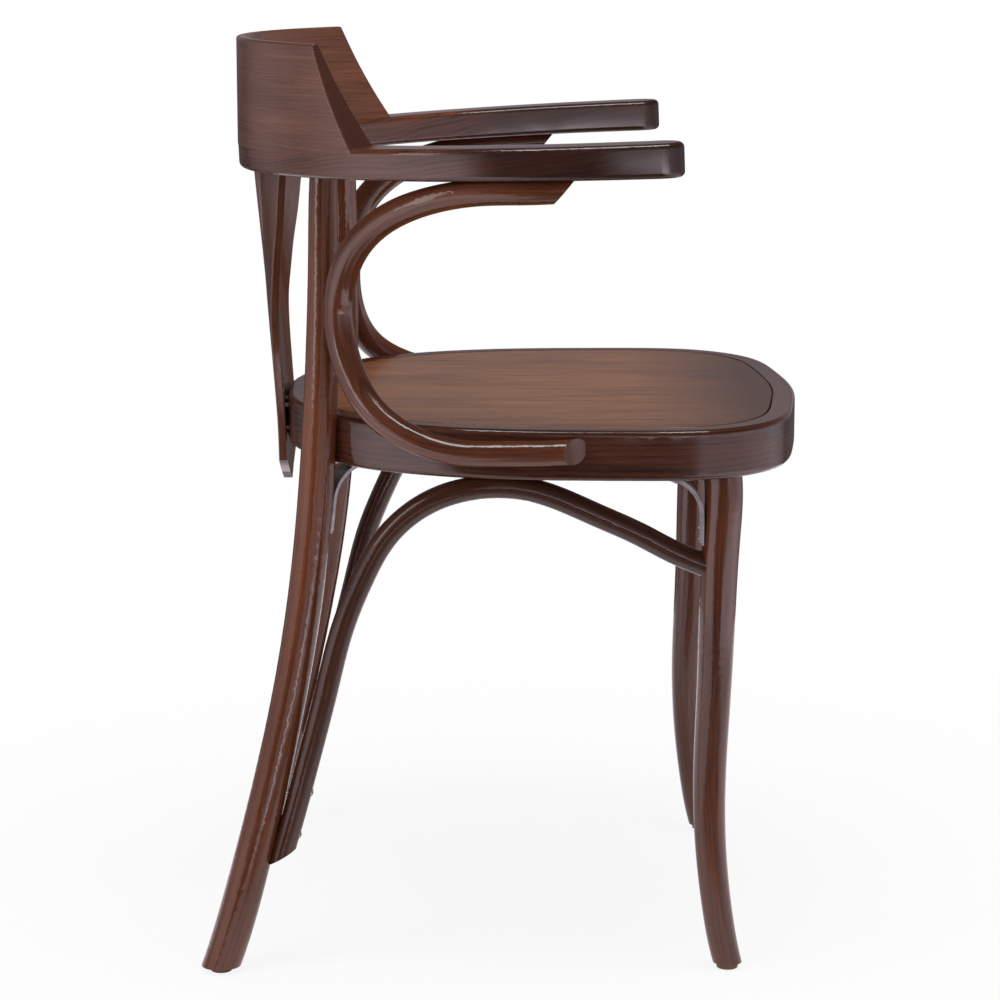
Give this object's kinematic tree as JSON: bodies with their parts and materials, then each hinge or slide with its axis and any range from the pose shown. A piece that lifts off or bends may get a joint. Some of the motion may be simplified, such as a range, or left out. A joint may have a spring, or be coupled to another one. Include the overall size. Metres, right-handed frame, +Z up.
{
  "type": "wooden dining armchair",
  "caption": "Bentwood armchair with one bent arm bow, a wedge-shaped crest block, fanned back slats, looped arm supports and arched side braces.",
  "frame": {"origin": "on the floor, at the centre of the chair's overall footprint box", "axes": "+Z up, -Y towards the front of the seat, +X towards the sitter's left hand"},
  "size_m": [0.544, 0.5066, 0.77],
  "materials": {
    "ring_wood": "satin dark walnut stain",
    "panel_wood": "satin walnut stain",
    "arm_wood": "satin dark walnut stain",
    "crest_wood": "satin walnut stain",
    "slat_wood": "satin dark walnut stain",
    "leg_wood": "satin dark walnut stain",
    "rod_wood": "satin dark walnut stain",
    "bracket_steel": "satin pressed sheet",
    "glide_plastic": "matte",
    "nail_steel": "satin",
    "screw_steel": "satin",
    "bolt_steel": "zinc satin",
    "dowel_wood": "plain beech"
  },
  "bodies": {
    "root": {"seat_ring": "ring_wood", "seat_panel": "panel_wood", "arm_bow": "arm_wood", "crest_block": "crest_wood", "back_slat_left": "slat_wood", "back_slat_centre": "slat_wood", "back_slat_right": "slat_wood", "rear_leg_left": "leg_wood", "rear_leg_right": "leg_wood", "front_leg_left": "leg_wood", "front_leg_right": "leg_wood", "arm_loop_left": "rod_wood", "arm_loop_right": "rod_wood", "side_arch_left": "rod_wood", "side_arch_right": "rod_wood", "bracket_front_left": "bracket_steel", "bracket_front_right": "bracket_steel", "bracket_rear_left": "bracket_steel", "bracket_rear_right": "bracket_steel", "foot_glide_front_left": "glide_plastic", "foot_glide_front_right": "glide_plastic", "foot_glide_rear_left": "glide_plastic", "foot_glide_rear_right": "glide_plastic", "glide_nails": "nail_steel", "arch_foot_screws": "screw_steel", "arch_crown_screws": "screw_steel", "arch_dowels": "dowel_wood", "loop_dowels": "dowel_wood", "slat_screws": "screw_steel", "bracket_screws": "screw_steel", "ring_bolts": "bolt_steel", "ring_washers": "bolt_steel", "crest_dowels": "dowel_wood"}
  },
  "joints": []
}
